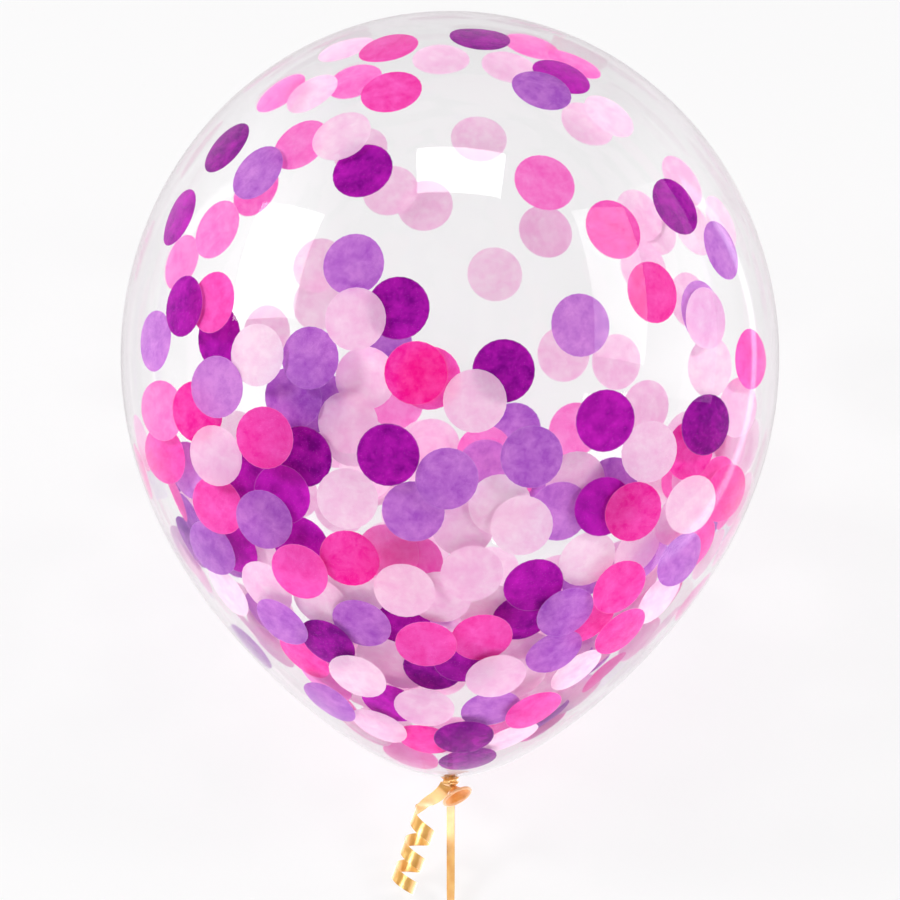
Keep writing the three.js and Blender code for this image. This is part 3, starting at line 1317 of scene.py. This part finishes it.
    def build(self) -> list[bpy.types.Object]:
        """Makes one piece for each colour.

        Returns:
            The pieces.
        """
        for side, discs in ((Wall.NEAR, NEAR_DISCS), (Wall.FAR, FAR_DISCS)):
            order = [(tissue, spot) for tissue, spots_of_it in discs.items() for spot in spots_of_it]
            order.sort(key=lambda item: item[1].layer)
            for tissue, spot in order:
                self.hang(tissue, spot, side)
        self.scatter()
        pieces = []
        for tissue, bm in self.meshes.items():
            name = tissue.value.replace("tissue", "confetti")
            piece = finish_piece(name, bm, TISSUE_FINISHES[tissue].material())
            pieces.append(piece)
        return pieces


class Use(Enum):
    """What a light is for: to show in gloss, or to light matt surfaces."""

    GLOSS = "gloss"
    MATT = "matt"


NECK: Point = (0.0, -0.2, 0.0)
TABLE_SIDE: Point = (0.0, -0.574, -0.819)
NECK_END = ("ribbon_curl_gold", "ribbon_knot", "balloon_neck")
TAIL = ("ribbon_tail_gold",)


@dataclass(frozen=True)
class Softbox:
    """A soft light, aimed at the balloon. Its direction and aim are in the balloon's own frame."""

    name: str
    use: Use
    direction: Point
    distance: float
    width: float
    height: float
    brightness: float
    roll: float = 0.0
    aim: Point = (0.0, 0.0, 0.0)
    only_for: tuple[str, ...] = ()

    def build(self, lying: Matrix) -> None:
        """Hangs the light.

        Args:
            lying: Where the balloon's own frame is.
        """
        data = bpy.data.lights.new(self.name, "AREA")
        data.shape = "RECTANGLE"
        data.size = self.width
        data.size_y = self.height
        data.energy = self.brightness * math.pi * self.width * self.height
        light = bpy.data.objects.new(self.name, data)
        outwards = (lying.to_3x3() @ Vector(self.direction)).normalized()
        upright = lying.to_3x3() @ Vector((0, 1, 0))
        side = upright.cross(outwards).normalized()
        turn = Matrix((side, outwards.cross(side), outwards)).transposed().to_4x4()
        turn = turn @ Matrix.Rotation(self.roll, 4, "Z")
        light.matrix_world = Matrix.Translation(lying @ Vector(self.aim) + outwards * self.distance) @ turn
        light.visible_camera = False
        light.visible_glossy = self.use is Use.GLOSS
        light.visible_transmission = self.use is Use.GLOSS
        light.visible_diffuse = self.use is Use.MATT
        if self.only_for:
            lit = bpy.data.collections.new(self.name)
            for name in self.only_for:
                lit.objects.link(bpy.data.objects[name])
            light.light_linking.receiver_collection = lit
            data.use_shadow = False
        bpy.context.scene.collection.objects.link(light)


@dataclass
class Studio:
    """A pale floor, a white room and soft lights."""

    lying: Matrix
    floor_side: float = 14.0
    floor_drop: float = 0.4 * MM
    room_colour: Colour = (1.0, 0.955, 0.985, 1.0)
    room_light: float = 0.25
    gloss_levels: Levels = ((-0.2, 0.02), (0.3, 0.1), (0.7, 0.5), (1.0, 1.0))
    height_levels: Levels = ((-0.6, 0.72), (0.0, 0.5), (0.6, 0.45))
    table_light: float = 2.0
    strip_levels: Levels = ((0.715, 0.0), (0.74, 1.0), (0.765, 1.0), (0.785, 0.0))
    strip_light: float = 1.8
    strip_top: float = -0.05
    strip_front: float = -0.3
    softboxes: tuple[Softbox, ...] = (
        Softbox("top_light", Use.GLOSS, (0.05, 0.845, 0.535), 1.42, 0.62, 0.4, 16.0, roll=math.radians(-6)),
        Softbox("left_light", Use.GLOSS, (-0.832, 0.412, 0.37), 1.4, 0.62, 0.74, 8.0, roll=math.radians(4)),
        Softbox("right_light", Use.GLOSS, (0.94, 0.27, 0.22), 1.4, 1.3, 1.3, 0.8),
        Softbox("right_pane", Use.GLOSS, (0.816, 0.33, 0.475), 1.4, 0.5, 1.04, 3.5, roll=math.radians(-7)),
        Softbox("top_key", Use.MATT, (0.055, 0.85, 0.525), 1.42, 0.62, 0.4, 4.0),
        Softbox("left_key", Use.MATT, (-0.75, 0.4, 0.53), 1.3, 0.3, 0.3, 39.0),
        Softbox("right_key", Use.MATT, (0.75, 0.3, 0.59), 1.3, 0.3, 0.3, 28.0),
        Softbox("low_fill", Use.MATT, (0.0, -0.62, 0.78), 1.5, 0.8, 0.6, 1.7),
        Softbox("curl_front", Use.GLOSS, (-0.05, 0.05, 1.0), 0.8, 0.3, 0.3, 26.0, aim=NECK,
                only_for=NECK_END),
        Softbox("tail_card", Use.GLOSS, (-1.0, 0.0, 0.0), 0.05, 0.036, 0.018, 2.7,
                aim=(0.0, -0.203, -0.012), only_for=TAIL),
        Softbox("ribbon_table", Use.GLOSS, TABLE_SIDE, 0.026, 0.5, 0.5, 1.3, aim=NECK, only_for=NECK_END),
        Softbox("tail_table", Use.GLOSS, TABLE_SIDE, 0.026, 0.5, 0.5, 0.3, aim=NECK, only_for=TAIL),
    )

    def room(self) -> bpy.types.World:
        """A white room that shows in gloss as a dark one with a bright table behind the balloon.

        Returns:
            The world.
        """
        sheet = ShaderSheet(bpy.data.worlds.new("white_room"))
        direction = sheet.node("TexCoord").outputs["Generated"]
        parts = sheet.node("SeparateXYZ", {0: direction}).outputs

        def levels(value: Socket, stops: Levels) -> Socket:
            """A brightness that follows a value from -1 to 1 through given stops."""
            share = sheet.math("MULTIPLY_ADD", value, 0.5, 0.5)
            greys = [(0.5 + 0.5 * place, (level, level, level, 1.0)) for place, level in stops]
            return sheet.ramp(share, greys)

        def along(own_axis: Point) -> Socket:
            """How far a ray's direction goes along an axis of the balloon's own frame."""
            inputs = {0: direction, 1: tuple(self.lying.to_3x3() @ Vector(own_axis))}
            return sheet.node("VectorMath", inputs, operation="DOT_PRODUCT").outputs["Value"]

        low = sheet.math("LESS_THAN", parts["Z"], self.strip_top)
        back = sheet.math("GREATER_THAN", parts["Y"], self.strip_front)
        strip = levels(parts["X"], self.strip_levels)
        strip = sheet.math("MULTIPLY", strip, sheet.math("MULTIPLY", low, back))
        behind = levels(along((0, 0, -1)), self.gloss_levels)
        table = sheet.math("MULTIPLY", behind, levels(along((0, 1, 0)), self.height_levels))
        table = sheet.math("MULTIPLY", table, self.table_light)
        gloss = sheet.math("MULTIPLY_ADD", strip, self.strip_light, table)
        glossy = sheet.node("LightPath").outputs["Is Glossy Ray"]
        strength = sheet.mix(glossy, self.room_light, gloss, "FLOAT")
        light = sheet.node("Background", {"Color": self.room_colour, "Strength": strength})
        return sheet.surface(light.outputs["Background"])

    def build(self) -> None:
        """Sets the stage."""
        bm = bmesh.new()
        bmesh.ops.create_grid(bm, x_segments=1, y_segments=1, size=self.floor_side / 2)
        bmesh.ops.translate(bm, vec=(0, 0, -self.floor_drop), verts=bm.verts)
        mesh = bpy.data.meshes.new("floor")
        bm.to_mesh(mesh)
        bm.free()
        mesh.materials.append(FloorFinish().material())
        floor = bpy.data.objects.new("floor", mesh)
        bpy.context.scene.collection.objects.link(floor)
        bpy.context.scene.world = self.room()
        for softbox in self.softboxes:
            softbox.build(self.lying)
        bpy.context.scene.view_settings.view_transform = "Standard"


def main() -> None:
    """Builds the balloon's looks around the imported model."""
    logging.basicConfig(level=logging.INFO, format="%(name)s: %(message)s")
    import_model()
    shape = BalloonShape()
    lying = shape.lying()
    camera = PhotoCamera()
    camera.build(lying)

    gold = GoldRibbonFinish().material()
    pieces = [LongTail(gold).build(), CurledTail(lying, gold).build(), RibbonKnot(lying, gold).build()]
    for ribbon in pieces:
        ribbon.visible_glossy = False
    pieces.append(BalloonNeck(lying, AmberLatexFinish().material()).build())
    skin = BalloonSkin(shape, lying, ClearLatexFinish().material())
    pieces.append(skin.build())
    pieces += Confetti(camera, shape, lying, skin.inner_wall()).build()
    for piece in pieces:
        LOG.info("made %s with %d faces", piece.name, len(piece.data.polygons))
    Studio(lying).build()


if __name__ == "__main__":
    main()
